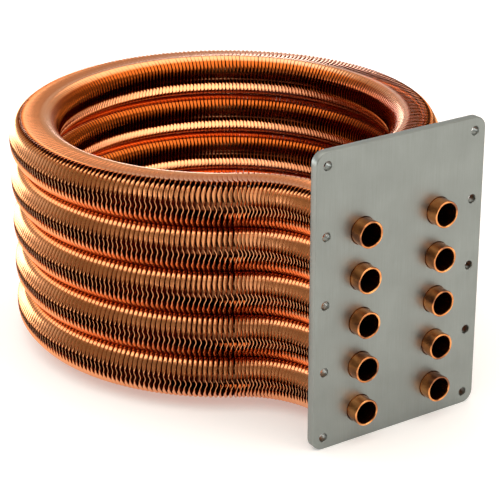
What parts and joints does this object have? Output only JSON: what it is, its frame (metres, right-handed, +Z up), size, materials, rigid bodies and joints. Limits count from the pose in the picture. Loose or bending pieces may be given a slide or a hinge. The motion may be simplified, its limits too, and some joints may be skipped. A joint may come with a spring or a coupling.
{
  "type": "finned tube heat exchanger coil",
  "caption": "Stack of round finned copper tube loops whose straight ends pass through one flat steel tube sheet with screw holes down both sides.",
  "frame": {"origin": "centre of the screw pattern on the tube sheet's front sealing face", "axes": "+Z up, +X to the right seen from the front, +Y from the tube sheet towards the coil"},
  "size_m": [0.3754, 0.4493, 0.25],
  "materials": {
    "satin_steel": "satin grey plate, faint upright grain, a few scuffs at one edge",
    "copper_tube": "polished copper, slightly browned by brazing heat",
    "copper_fins": "bright rolled copper, folded at the rims"
  },
  "bodies": {
    "root": {"tube_sheet": "satin_steel", "loop_1_tube": "copper_tube", "loop_1_fins": "copper_fins", "loop_2_tube": "copper_tube", "loop_2_fins": "copper_fins", "loop_3_tube": "copper_tube", "loop_3_fins": "copper_fins", "loop_4_tube": "copper_tube", "loop_4_fins": "copper_fins", "loop_5_tube": "copper_tube", "loop_5_fins": "copper_fins"}
  },
  "joints": []
}
